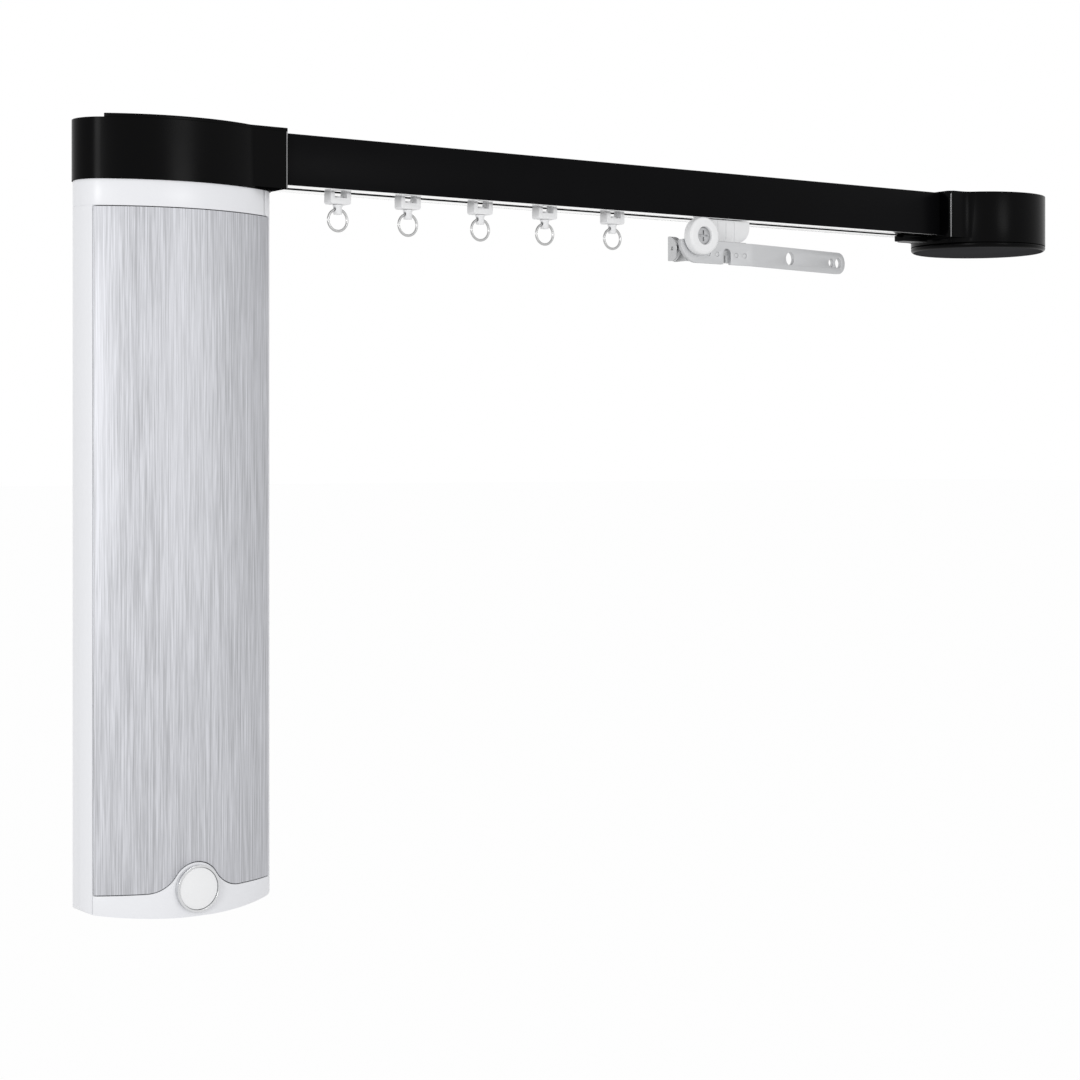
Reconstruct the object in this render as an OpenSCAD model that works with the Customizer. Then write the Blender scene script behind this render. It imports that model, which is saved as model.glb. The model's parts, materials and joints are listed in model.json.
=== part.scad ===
// Electric curtain track: a hanging gear motor drives a belt inside a slotted track,
// and the belt pulls a master carrier that draws five gliders along.
// X runs along the track away from the motor, Y points to the wall and Z up.
// The origin is on the drive axis, in the top face of the head.

/* [Motor unit] */
// Width of the motor along the track
motor_w = 80; // [77:1:84]
// Depth of the motor from front to back
motor_d = 40; // [39:1:43]
// Radius of the bowed front and back
bow_r = 65; // [62:1:72]
// Height of the whole motor unit with its head
motor_h = 299; // [290:1:320]
// Wall of the white shells
shell_t = 2; // [1.6:0.1:2.4]
// Thickness of the brushed front cover
cover_t = 1.2; // [0.8:0.1:1.6]
// Distance of the front cover's long edges in front of the track's centre plane
split_y = 8; // [6:0.5:9]
// Height of the white collar
collar_h = 9.8; // [8:0.1:12]
// Height of the white bottom cap
cap_h = 9.5; // [8:0.1:11]
// Shadow gap between the front cover and the white shells
seam = 0.3; // [0.2:0.05:0.5]
// Radius of the unit's bowed underside
base_bow = 260; // [240:10:400]

/* [Badge] */
// Outer diameter of the badge ring
badge_d = 17.6; // [16:0.1:18.4]
// Width of the badge ring's rim
badge_rim = 0.8; // [0.6:0.1:1.2]
// Height of the badge's centre above the motor's base
badge_rise = 10.5; // [10:0.1:12]
// How far the badge stands out of the front
badge_proud = 1.8; // [1.2:0.1:2.4]
// Margin of the cap's hump around the badge
hump_margin = 0.8; // [0.5:0.1:1.5]
// Radius of the hump's concave flanks
hump_flank_r = 13; // [10:0.5:14]

/* [Gear motor] */
// Outer radius of the motor can
can_r = 16; // [15:0.1:16.4]
// Length of the motor can
can_l = 70; // [60:1:80]
// Wall of the motor can
can_t = 1.5; // [1.2:0.1:2]
// Radius of the rotor's core
core_r = 8; // [7:0.5:10]
// Radius of the rotor's shaft
rotor_shaft_r = 2; // [1.8:0.1:2.2]
// Radius of the output shaft
shaft_r = 4; // [3.6:0.1:4.2]
// Gear module
gear_m = 0.6; // [0.55:0.01:0.6]
// Face width of the gears
gear_w = 8; // [6:0.5:10]
// Radius of the planet pins
planet_pin_r = 1.2; // [1:0.1:1.5]

/* [Electronics] */
// Thickness of the circuit board
board_t = 1.6; // [1.2:0.1:2]
// Width of the circuit board
board_w = 36; // [30:1:37]
// Radius of the capacitor
capacitor_r = 7; // [5:0.5:8]
// Length of the capacitor
capacitor_l = 30; // [25:1:40]
// Width of the power inlet's opening
inlet_w = 16; // [14:0.5:18]
// Depth of the power inlet's opening from front to back
inlet_d = 8; // [7:0.5:10]
// Width of the data socket's opening
socket_w = 9; // [8:0.5:10]
// Depth of the data socket's opening from front to back
socket_d = 7; // [6:0.5:9]
// How far both openings reach up
inlet_depth = 11; // [9:0.5:12]
// Wall of both sockets
inlet_t = 1.6; // [1.2:0.1:2]
// Radius of the programming button
button_r = 3; // [2.5:0.1:3.5]
// Travel of the programming button
button_travel = 1; // [0.6:0.1:1.5]

/* [Track] */
// Width of the track
track_w = 22.4; // [22:0.1:24]
// Height of the track
track_h = 20.2; // [20:0.1:22]
// Wall of the track
track_t = 1.3; // [1.1:0.1:1.5]
// Width of the slot under the track
slot_w = 5.4; // [5.2:0.1:6]
// Distance from the drive axis to the idler axis
axis_span = 434.3; // [425:0.1:600]

/* [Head and idler] */
// Thickness of the raised head lid
lid_t = 1.4; // [1.2:0.1:2]
// Distance of the lid's step in front of the head's left end
lid_step = 6.5; // [5:0.5:9]
// How far the head stands out past the motor's shells
head_over = 0.4; // [0:0.1:0.8]
// Thickness of the neck's floor below the track
neck_floor = 1.8; // [1.4:0.1:2.4]
// Height of the head's lip below the neck
lip_h = 0.8; // [0.5:0.1:1.5]
// Half width of the head's neck
neck_half = 15; // [14.5:0.1:16]
// Distance from the drive axis to the neck's end
neck_x = 41.8; // [41:0.1:46]
// Length of track inside the neck
track_in = 11.8; // [9:0.1:13]
// Radius of the idler
idler_r = 32.3; // [30:0.1:34]
// Half width of the idler's neck
idler_neck_half = 18.5; // [17.5:0.1:19.5]
// Distance from the idler axis to its neck's end
idler_neck = 37.3; // [35:0.1:40]
// Thickness of the idler's roof over the track
idler_roof = 0.5; // [0.4:0.1:1.2]
// Wall of the idler
idler_t = 2.2; // [1.8:0.1:2.6]
// Height of the round idler cover
puck_h = 2.8; // [2.6:0.1:4]
// Radius of the cover's bottom edge
puck_edge = 1.6; // [1:0.1:2.1]
// How far the cover's round edge reaches inwards
puck_soft = 2.5; // [1.5:0.1:4]
// Radius of the idler axle
axle_r = 3; // [2.6:0.1:3.4]
// Length of the end stop under the slot
stop_l = 15.8; // [14:0.1:20]

/* [Belt] */
// Radius of the belt's middle on both pulleys
pulley_r = 7.5; // [7.2:0.1:7.6]
// Thickness of the belt
belt_t = 1.4; // [1.2:0.1:1.5]
// Height of the belt
belt_h = 8; // [6:0.5:8.5]
// Number of grooves in each pulley
pulley_grooves = 16; // [12:1:20]

/* [Gliders] */
// Place of the first glider along the track
glider_1_x = 72.5; // [70:0.5:75]
// Place of the second glider along the track
glider_2_x = 105.5; // [103:0.5:108]
// Place of the third glider along the track
glider_3_x = 141; // [138:0.5:144]
// Place of the fourth glider along the track
glider_4_x = 174; // [171:0.5:177]
// Place of the fifth glider along the track
glider_5_x = 210; // [207:0.5:213]
// Length of a glider along the track
glider_l = 9.4; // [9:0.1:10]
// Thickness of a glider's two plates
glider_plate = 1.9; // [1.5:0.1:2.2]
// Width of a glider below the track
glider_w = 5.3; // [4.8:0.1:5.6]
// Height of a glider below the track
glider_drop = 4.75; // [4.5:0.05:5.2]
// Height of the bridge at a glider's foot
bridge_h = 2.5; // [2.2:0.1:3]
// Radius of the swivel eyelet
eyelet_r = 1.75; // [1.6:0.05:1.8]
// Length of the swivel eyelet below the glider
eyelet_l = 3.8; // [3.6:0.1:4.4]
// Radius of the hole through the eyelet
eyelet_hole_r = 1; // [0.96:0.01:1.05]
// Radius of the ring to the middle of its wire
ring_r = 4.35; // [4.2:0.05:4.8]
// Radius of the ring's wire
wire_r = 0.55; // [0.45:0.05:0.55]
// Angle of the ring's gap
ring_gap = 5; // [4:1:14]

/* [Master carrier] */
// Place of the guide disc's axis along the track
master_x = 248; // [244:0.5:252]
// Distance of the guide disc's axis below the track
disc_drop = 8.8; // [8.7:0.1:10]
// Diameter of the guide disc
disc_d = 16.3; // [15.3:0.1:17.3]
// Thickness of the guide disc
disc_t = 5; // [4:0.1:6]
// Radius of the disc screw's shoulder
disc_screw_r = 1.5; // [1.3:0.1:1.8]
// Length of the nylon carriage along the track
carriage_l = 23.1; // [21:0.1:26]
// Distance of the carriage's left end from the disc's axis
carriage_x = 10; // [8:0.1:12]
// Half depth of the carriage below the track
carriage_half = 8; // [7:0.5:8.5]
// Height of the carriage below the track
carriage_drop = 9.9; // [9.6:0.1:10.4]
// Thickness of the steel arm and bracket
plate_t = 1.8; // [1.5:0.1:2]
// Height of the steel arm
arm_h = 9.9; // [9.4:0.1:11]
// Distance from the disc's axis to the arm's bend
arm_bend_x = 31.4; // [30:0.1:36]
// Length of the arm's bent end
arm_tail = 68.2; // [60:0.1:80]
// Angle of the arm's bend to the rear
arm_bend = 10.5; // [4:0.5:15]
// Radius of the arm's large hole
hook_r = 3; // [2.6:0.1:3.4]
// Radius of the arm's end hole
end_hook_r = 2.35; // [2:0.05:2.6]
// Radius of the half-round bumper
bumper_r = 5.4; // [5:0.1:5.6]
// Length of the half-round bumper
bumper_l = 3.2; // [3:0.1:5]

/* [Hidden] */
$fn = 48;

// Clearances: a fixed seat, a running shaft and a sliding piece
seat = 0.1;
run = 0.05;
slide = 0.3;
// Depth by which a cut passes the face it opens
cut = 1;

white = "#eef0f2";
nylon = "#e9ebec";
black = "#1c1d1f";
metal = "#c9ccd0";
steel = "#b9bcbf";
copper = "#b87440";

// Levels, all measured down from the head's top face
track_top = -lid_t;
track_low = track_top - track_h;
neck_low = track_low - neck_floor;
head_low = neck_low - lip_h;
collar_low = head_low - collar_h;
base_low = -motor_h;
cap_top = base_low + cap_h;
badge_z = base_low + badge_rise;
idler_top = track_top + idler_roof;
idler_low = track_low - 3.2;
idler_neck_low = track_low - 1.2;
puck_low = idler_low - puck_h;

// Oval plan of the motor: two bows joined by round ends that touch both
bow_c = bow_r - motor_d / 2;
end_r = (bow_r * bow_r - motor_w * motor_w / 4 - bow_c * bow_c) / (2 * (bow_r - motor_w / 2));
end_x = motor_w / 2 - end_r;

// Gear train: sun on the rotor, three planets, fixed ring
sun_n = 12;
planet_n = 18;
ring_n = sun_n + 2 * planet_n;
orbit_r = gear_m * (sun_n + planet_n) / 2;
ring_gear_wall = 1.9;
ring_gear_r = gear_m * ring_n / 2 + ring_gear_wall;
gearbox_drop = 4;
lid_z = collar_low - gearbox_drop;
gearbox_lid_t = 4;
carrier_t = 3;
carrier_gap = 1;
carrier_top = lid_z - gearbox_lid_t - carrier_gap;
gear_gap = 0.6;
gear_top = carrier_top - carrier_t - gear_gap;
gear_low = gear_top - gear_w;
gear_floor_gap = 2;
gearbox_low = gear_low - gear_floor_gap;
can_low = gearbox_low - can_l;
plate_h = 3;
foot_rise = 19;
foot_plate_z = base_low + foot_rise;
board_y = 4;

// Places on the motor's underside
cap_floor = 2.4;
end_floor = 5.2;
base_corner = 4;
socket_rise = 1.4;
screw_sink = 2.2;
shell_rise = 0.6;
underside_y = 2;
socket_gap = 2;
foot_inset = 10.5;
foot_screw_x = motor_w / 2 - foot_inset;
foot_screw_r = 1.4;
foot_boss = 4;
inlet_x = foot_screw_x - foot_boss - seat - inlet_t - inlet_w / 2;
socket_x = inlet_x - (inlet_w + socket_w) / 2 - 2 * inlet_t - socket_gap;
button_lip = 1.2;
button_top = base_low + cap_floor + button_lip;
button_x = socket_x;
button_y = underside_y - socket_d / 2 - inlet_t - socket_gap - button_lip - button_r;
switch_half = 4;

// Belt and pulleys
belt_drop = 4.9;
belt_z = track_top - belt_drop;
belt_low = belt_z - belt_h;
belt_gap = 0.15;
flange_gap = 0.4;
flange_t = 1;
flange_over = 0.6;
pulley_tip_r = pulley_r - belt_t / 2 - belt_gap;
flange_r = pulley_r + belt_t / 2 + flange_over;
bearing_h = 2.4;
bearing_t = 2;

// Track
track_x = neck_x - track_in;
idler_neck_x = axis_span - idler_neck;
track_out = 13;
track_end = idler_neck_x + track_out;
channel_half = track_w / 2 + seat;
shoe_gap = 0.2;
shoe_low = track_low + track_t + shoe_gap;
shoe_h = 2.6;
shoe_side = 1.4;
shoe_half = track_w / 2 - track_t - shoe_side;
gate_half = slot_w / 2 - slide;

// Head screws and idler
head_screw_places = [[-22, 0], [22, 13.2], [22, -13.2]];
notch_out = 5;
notch_r = 15.7;
head_screw_r = 1.3;
head_screw_l = 7.5;
head_screw_seat = 0.9;
cover_floor = 1.4;
tension_r = 1.5;
tension_seat = 1.5;
tension_z = idler_low + 2 * tension_r + 1.4;
tension_tip = axle_r + 2;

// Gliders
glider_xs = [glider_1_x, glider_2_x, glider_3_x, glider_4_x, glider_5_x];
glider_low = track_low - glider_drop;
swivel_r = 1.05;
swivel_gap = 0.15;
eyelet_top = glider_low - swivel_gap;
eyelet_low = eyelet_top - eyelet_l;
eyelet_hole_drop = 1.75;
eyelet_hole_z = eyelet_top - eyelet_hole_drop;
ring_z = eyelet_hole_z - ring_r;

// Master carrier
disc_z = track_low - disc_drop;
arm_offset = 3.7;
arm_front = -(carriage_half + slide + arm_offset);
arm_rear = arm_front + plate_t;
arm_drop = 1.65;
arm_top = disc_z - arm_drop;
arm_low = arm_top - arm_h;
carriage_left = master_x + carriage_x;
carriage_right = carriage_left + carriage_l;
carriage_low = track_low - carriage_drop;
bracket_top = carriage_low;
bracket_x = 5.6;
carriage_rear = 3;
bracket_left = master_x - bracket_x;
arm_x = 9.6;
arm_left = master_x - arm_x;
arm_bend_at = master_x + arm_bend_x;
bracket_right = min(carriage_right - 3, arm_bend_at - 1);
bracket_low = arm_low + 0.8;
boss_right = carriage_left + 1;
boss_r = 2.8;
boss_t = 2;
bumper_y = -2.65;
bumper_flat = -1.9;
bumper_drop = 4.1;
bumper_z = bracket_top - bumper_drop;
bumper_shank_r = 1.5;
bumper_shank_y = -5;
rivet_xs = [for (x = [6.2, 11.2, 22.2, 27.1]) master_x + x];
rivet_r = 1;
rivet_rise = -0.65;
rivet_z = (arm_top + arm_low) / 2 + rivet_rise;
arm_slot_x = master_x + 14.5;
arm_slot_w = 4.4;
arm_slot_roof = 2.9;
hook_at = 26.95;
tie_back = 10.6;
end_hook_back = 5.1;
disc_seat = 3;
disc_thread_r = disc_screw_r - 0.3;
disc_head_r = 2.4 * disc_screw_r;
seam_xs = [for (x = [4.6, 9.3, 14.2]) carriage_left + x];
clamp_x = carriage_left + 1.5;
clamp_l = 20;

// Oval outline, drawn in by an inset
module oval(inset) {
    tangent_x = bow_r * end_x / norm([end_x, bow_c]);
    intersection() {
        translate([0, bow_c]) circle(bow_r - inset, $fn = 180);
        translate([0, -bow_c]) circle(bow_r - inset, $fn = 180);
        square([2 * tangent_x * (bow_r - inset) / bow_r, motor_d + 2], center = true);
    }
    for (side = [-1, 1]) translate([side * end_x, 0]) circle(end_r - inset);
}

// Oval slab between two levels
module oval_slab(low, high, inset) {
    translate([0, 0, low]) linear_extrude(high - low) oval(inset);
}

// Box between two corners
module span(low, high) {
    translate(low) cube(high - low);
}

// Everything in front of the shells' split, or behind it
module front_side(y) {
    span([-motor_w, -motor_d, base_low - cut], [motor_w, y, cut]);
}

module rear_side(y) {
    span([-motor_w, y, base_low - cut], [motor_w, motor_d, cut]);
}

// How far the bowed underside has risen at a place, with its round corner past turn_x
function base_rise(x, turn_x) = let (into = max(0, x - turn_x))
    base_bow - sqrt(base_bow * base_bow - x * x)
    + base_corner - sqrt(max(0, base_corner * base_corner - into * into));

// What is taken off the unit's underside to bow it and round its two lower corners
module base_corners() {
    steps = 6;
    over = 0.1;
    side = motor_w / 2;
    turn_x = side + over - base_corner;
    xs = concat([for (i = [0 : steps]) turn_x * i / steps],
        [for (i = [1 : steps]) turn_x + base_corner * sin(90 * i / steps)]);
    right = [for (x = xs) [x, base_low - over + base_rise(x, turn_x)]];
    last = len(right) - 1;
    left = [for (i = [last : -1 : 1]) [-right[i][0], right[i][1]]];
    rotate([90, 0, 0]) linear_extrude(4 * motor_d, center = true)
        polygon(concat([[-side - cut, base_low - 2 * cut], [-side - cut, right[last][1]]], left, right,
            [[side + cut, right[last][1]], [side + cut, base_low - 2 * cut]]));
}

// Bell outline of the cap's hump, seen from the front: a crown over the badge that runs out in two
// hollow flanks on the cap's top
module hump(grow) {
    steps = 12;
    crown_r = badge_d / 2 + hump_margin;
    rise = cap_top + hump_flank_r - badge_z;
    reach = sqrt(pow(crown_r + hump_flank_r, 2) - rise * rise);
    turn = atan2(rise, reach);
    flank = [for (i = [0 : steps]) let (a = -90 - i / steps * (90 - turn))
        [reach + (hump_flank_r - grow) * cos(a), cap_top + hump_flank_r + (hump_flank_r - grow) * sin(a)]];
    crown = [for (i = [1 : 2 * steps - 1]) let (a = turn + i / (2 * steps) * (180 - 2 * turn))
        [(crown_r + grow) * cos(a), badge_z + (crown_r + grow) * sin(a)]];
    mirrored = [for (i = [steps : -1 : 0]) [-flank[i][0], flank[i][1]]];
    polygon(concat([[reach, cap_top - cut]], flank, crown, mirrored, [[-reach, cap_top - cut]]));
}

module hump_block(grow) {
    rotate([90, 0, 0]) linear_extrude(motor_d) hump(grow);
}

// Gear outline: straight-flanked teeth with room to run
module gear_2d(teeth, addendum, dedendum, turn) {
    pitch = 360 / teeth;
    r = gear_m * teeth / 2;
    polygon([for (i = [0 : teeth - 1]) for (p = [[-0.30, -dedendum], [-0.205, 0], [-0.10, addendum],
        [0.10, addendum], [0.205, 0], [0.30, -dedendum]])
        let (a = turn + (i + p[0]) * pitch, q = r + p[1] * gear_m) [q * cos(a), q * sin(a)]]);
}

// Shaft along Z between two levels
module rod(r, low, high) {
    translate([0, 0, low]) cylinder(r = r, h = high - low);
}

// Shaft along X or Y between two stations
module rod_x(r, low, high) {
    translate([low, 0, 0]) rotate([0, 90, 0]) cylinder(r = r, h = high - low);
}

module rod_y(r, low, high) {
    translate([0, high, 0]) rotate([90, 0, 0]) cylinder(r = r, h = high - low);
}

module rear_shell() {
    color(white) difference() {
        oval_slab(base_low + shell_rise, collar_low, 0);
        oval_slab(base_low - cut, collar_low + cut, shell_t);
        front_side(-split_y + seam / 2);
        base_corners();
    }
}

module front_cover() {
    color(metal) difference() {
        oval_slab(cap_top + seam, collar_low - seam, 0);
        oval_slab(cap_top, collar_low, cover_t);
        rear_side(-split_y - seam / 2);
        hump_block(seam);
    }
}

module collar() {
    plate = 2;
    color(white) difference() {
        oval_slab(collar_low, head_low, 0);
        oval_slab(collar_low - cut, head_low - plate, shell_t);
        rod(shaft_r + 3, collar_low, head_low + cut);
        span([end_x + end_r / 2, -split_y - seam / 2, collar_low - cut],
            [motor_w, -split_y + seam / 2, head_low + cut]);
    }
}

// Opening in the cap's floor
module floor_cut(x, w, d) {
    translate([x, underside_y, base_low - cut]) linear_extrude(cap_h + cut) square([w, d], center = true);
}

module bottom_cap() {
    wall = 2 * (inlet_t + seat);
    color(white) difference() {
        union() {
            difference() {
                union() {
                    oval_slab(base_low, cap_top, 0);
                    intersection() {
                        oval_slab(cap_top - cut, badge_z + badge_d, 0);
                        hump_block(0);
                    }
                }
                oval_slab(base_low + cap_floor, badge_z + 2 * badge_d, shell_t);
                rear_side(-split_y - seam / 2);
            }
            oval_slab(base_low, base_low + cap_floor, shell_t + seat);
            for (turn = [0, 180]) rotate([0, 0, turn]) intersection() {
                oval_slab(base_low, base_low + end_floor, shell_t + seat);
                span([foot_screw_x - foot_boss / 2, -motor_d, base_low - cut], [motor_w, motor_d, cap_top]);
            }
            for (side = [-1, 1]) translate([side * foot_screw_x, 0, 0])
                span([-foot_boss, -foot_boss, base_low], [foot_boss, foot_boss, cap_top]);
        }
        base_corners();
        floor_cut(inlet_x, inlet_w + wall, inlet_d + wall);
        floor_cut(socket_x, socket_w + wall, socket_d + wall);
        translate([button_x, button_y, 0]) rod(button_r + seat, base_low - cut, cap_top);
        for (side = [-1, 1]) translate([side * foot_screw_x, 0, 0]) {
            rod(foot_screw_r + seat, base_low - cut, cap_top + cut);
            rod(2 * foot_screw_r + seat, base_low - cut, base_low + screw_sink + foot_screw_r);
        }
        translate([0, 0, badge_z]) rod_y(badge_d / 2 - badge_rim, -motor_d, 0);
    }
}

module badge_ring() {
    color(metal) translate([0, 0, badge_z]) difference() {
        rod_y(badge_d / 2, -motor_d / 2 - badge_proud, -motor_d / 2 + shell_t);
        rod_y(badge_d / 2 - badge_rim, -motor_d / 2 - badge_proud - cut, -motor_d / 2 + shell_t + cut);
        translate([0, 0, -badge_z]) oval_slab(base_low - cut, cut, 0);
    }
}

module badge_disc() {
    recess = 0.4;
    color(white) translate([0, 0, badge_z]) rod_y(badge_d / 2 - badge_rim - seat,
        -motor_d / 2 - badge_proud + recess, -motor_d / 2 + shell_t);
}

// Inner frame: cross plates on two rails
module chassis() {
    plates = [gearbox_low + 5, can_low + can_l / 2, can_low - plate_h - seat, foot_plate_z];
    rail_x = can_r + 4;
    color(steel) difference() {
        union() {
            for (z = plates) oval_slab(z, z + plate_h, shell_t + slide);
            for (side = [-1, 1]) translate([side * rail_x, 0, 0])
                span([-1.2, -7, foot_plate_z], [1.2, 7, collar_low - 2]);
        }
        rod(max(can_r, ring_gear_r) + seat, can_low - seat, collar_low);
        for (side = [-1, 1]) translate([side * foot_screw_x, 0, 0])
            rod(foot_screw_r + run, foot_plate_z - cut, foot_plate_z + plate_h + cut);
        rod(5, can_low - 2 * plate_h, can_low);
    }
}

module motor_can() {
    end_t = 3;
    color("#9a9da1") difference() {
        rod(can_r, can_low, gearbox_low);
        rod(can_r - can_t, can_low + end_t, gearbox_low - end_t);
        rod(rotor_shaft_r + run, can_low - cut, gearbox_low + cut);
    }
}

module rotor() {
    color(copper) {
        rod(rotor_shaft_r, can_low - 3, gear_low);
        translate([0, 0, gear_low]) linear_extrude(gear_w - 0.4) gear_2d(sun_n, 0.8, 1.1, 0);
        rod(core_r, can_low + 16, gearbox_low - 16);
    }
}

module ring_gear() {
    color(steel) difference() {
        rod(ring_gear_r, gearbox_low, lid_z - gearbox_lid_t);
        translate([0, 0, gearbox_low - cut]) linear_extrude(lid_z - gearbox_low + cut)
            gear_2d_ring();
    }
}

// Space inside the ring gear: the shape of a gear with wide teeth
module gear_2d_ring() {
    pitch = 360 / ring_n;
    r = gear_m * ring_n / 2;
    polygon([for (i = [0 : ring_n - 1]) for (p = [[-0.40, -0.8], [-0.295, 0], [-0.20, 1.1],
        [0.20, 1.1], [0.295, 0], [0.40, -0.8]])
        let (a = (i + 0.5 + p[0]) * pitch, q = r + p[1] * gear_m) [q * cos(a), q * sin(a)]]);
}

module planet_gear(index) {
    turn = 120 * (index - 1);
    color("#d8c89a") rotate([0, 0, turn]) translate([orbit_r, 0, 0]) difference() {
        translate([0, 0, gear_low]) linear_extrude(gear_w) gear_2d(planet_n, 0.8, 1.1, 180 / planet_n);
        rod(planet_pin_r + run, gear_low - cut, gear_top + cut);
    }
}

module planet_carrier() {
    carrier_r = orbit_r + planet_pin_r + 1.5;
    color(steel) {
        rod(carrier_r, carrier_top - carrier_t, carrier_top);
        rod(shaft_r, carrier_top, track_top - 0.2);
        for (turn = [0, 120, 240]) rotate([0, 0, turn]) translate([orbit_r, 0, 0])
            rod(planet_pin_r, gear_low + 0.5, carrier_top - carrier_t);
    }
}

module gearbox_lid() {
    color("#8d9094") difference() {
        rod(ring_gear_r, lid_z - gearbox_lid_t, lid_z);
        rod(shaft_r + run, lid_z - gearbox_lid_t - cut, lid_z + cut);
    }
}

module circuit_board() {
    low = [-board_w / 2, board_y, foot_plate_z + plate_h];
    high = [board_w / 2, board_y + board_t, can_low - plate_h - seat];
    color("#2f6b3c") span(low, high);
}

module capacitor() {
    x = 8;
    rise = 20;
    dent = 0.4;
    color("#30343c") translate([x, board_y - capacitor_r, foot_plate_z + plate_h + rise]) difference() {
        cylinder(r = capacitor_r, h = capacitor_l);
        translate([0, 0, capacitor_l - dent]) cylinder(r = capacitor_r - 1, h = cut);
    }
}

// Socket with its opening underneath
module socket(x, w, d) {
    back = 2;
    pin_l = 3;
    pin_r = 0.6;
    translate([x, underside_y, base_low + socket_rise]) {
        color("#2a2b2e") difference() {
            linear_extrude(inlet_depth + back) square([w + 2 * inlet_t, d + 2 * inlet_t], center = true);
            translate([0, 0, -cut]) linear_extrude(inlet_depth + cut) square([w, d], center = true);
        }
        color(metal) for (i = [-1, 0, 1]) translate([i * w / 4, 0, inlet_depth - pin_l])
            cylinder(r = pin_r, h = pin_l);
    }
}

module power_inlet() {
    socket(inlet_x, inlet_w, inlet_d);
}

module data_socket() {
    socket(socket_x, socket_w, socket_d);
}

// Button that is pressed up into the cap
module program_button() {
    sunk = 0.2;
    color("#6b6f75") translate([button_x, button_y, 0]) {
        rod(button_r, base_low + sunk, button_top);
        rod(button_r + button_lip, base_low + cap_floor + seat, button_top);
    }
}

// Switch under the foot plate, one travel above the button
module program_switch() {
    plunger_r = 1.5;
    body_low = button_top + button_travel + 2;
    color("#3a3d42") translate([button_x, button_y, 0]) {
        span([-switch_half, -switch_half, body_low], [switch_half, switch_half, foot_plate_z]);
        rod(plunger_r, button_top + button_travel + seat, body_low);
    }
}

module case_screws() {
    cross_l = 1.4;
    cross_w = 0.4;
    cross_z = base_low + screw_sink + 0.6;
    color(steel) for (side = [-1, 1]) translate([side * foot_screw_x, 0, 0]) difference() {
        union() {
            rod(foot_screw_r, base_low + screw_sink, foot_plate_z + plate_h);
            rod(2 * foot_screw_r, base_low + screw_sink, base_low + screw_sink + foot_screw_r);
        }
        span([-cross_l, -cross_w, base_low], [cross_l, cross_w, cross_z]);
        span([-cross_w, -cross_l, base_low], [cross_w, cross_l, cross_z]);
    }
}

// Plan of the head: the motor's oval with the neck
module head_plan() {
    oval(-head_over);
    translate([0, -neck_half]) square([neck_x, 2 * neck_half]);
}

module head_housing() {
    color(black) difference() {
        union() {
            oval_slab(head_low, track_top, -head_over);
            translate([0, 0, neck_low]) linear_extrude(track_top - neck_low) head_plan();
        }
        rod(channel_half, head_low - cut, cut);
        span([0, -channel_half, track_low - seat], [neck_x + cut, channel_half, cut]);
        for (p = head_screw_places) translate(p)
            rod(head_screw_r + run, track_top - head_screw_l - 0.5, cut);
    }
}

module head_lid() {
    step_x = -motor_w / 2 + lid_step;
    color(black) difference() {
        translate([0, 0, track_top]) linear_extrude(lid_t) intersection() {
            head_plan();
            translate([step_x, -motor_d]) square([neck_x - step_x, 2 * motor_d]);
        }
        translate([-motor_w / 2 - notch_out, 0, 0]) rod(notch_r, track_top - cut, cut);
        for (p = head_screw_places) translate(p) {
            rod(head_screw_r + run, track_top - cut, cut);
            rod(2 * head_screw_r + seat, -head_screw_seat, cut);
        }
    }
}

module head_screws() {
    cross_w = 0.3;
    cross_z = -head_screw_seat + 0.4;
    color(steel) for (p = head_screw_places) translate(p) difference() {
        union() {
            rod(head_screw_r, track_top - head_screw_l, -seat);
            rod(2 * head_screw_r, -head_screw_seat, -seat);
        }
        span([-head_screw_r, -cross_w, cross_z], [head_screw_r, cross_w, cut]);
        span([-cross_w, -head_screw_r, cross_z], [cross_w, head_screw_r, cut]);
    }
}

// Belt pulley with two flanges on a bore
module pulley(bore_r) {
    groove_r = 0.7;
    low = belt_low - flange_gap - flange_t;
    high = belt_z + flange_gap + flange_t;
    difference() {
        union() {
            difference() {
                rod(pulley_tip_r, low, high);
                for (i = [1 : pulley_grooves]) rotate([0, 0, 360 * i / pulley_grooves])
                    translate([pulley_tip_r, 0, 0]) rod(groove_r, low - cut, high + cut);
            }
            for (z = [low, high - flange_t]) rod(flange_r, z, z + flange_t);
        }
        rod(bore_r, low - cut, high + cut);
    }
}

module drive_pulley() {
    color("#4a4d52") pulley(shaft_r + run);
}

module pulley_bearing() {
    color("#c8a35a") difference() {
        rod(shaft_r + bearing_t, track_top - bearing_h, track_top);
        rod(shaft_r + run, track_top - bearing_h - cut, track_top + cut);
    }
}

// Cross-section of the track: a box open along its slot
module track_section() {
    difference() {
        translate([-track_w / 2, track_low]) square([track_w, track_h]);
        translate([-track_w / 2 + track_t, track_low + track_t])
            square([track_w - 2 * track_t, track_h - 2 * track_t]);
        translate([-slot_w / 2, track_low - cut]) square([slot_w, track_t + 2 * cut]);
    }
}

module track_profile() {
    color(black) translate([track_x, 0, 0]) rotate([90, 0, 90])
        linear_extrude(track_end - track_x) track_section();
}

// Loop around both pulleys
module belt_loop(r) {
    for (x = [0, axis_span]) translate([x, 0]) circle(r);
    translate([0, -r]) square([axis_span, 2 * r]);
}

module drive_belt() {
    color("#26272a") translate([0, 0, belt_low]) linear_extrude(belt_h) difference() {
        belt_loop(pulley_r + belt_t / 2);
        belt_loop(pulley_r - belt_t / 2);
    }
}

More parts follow.
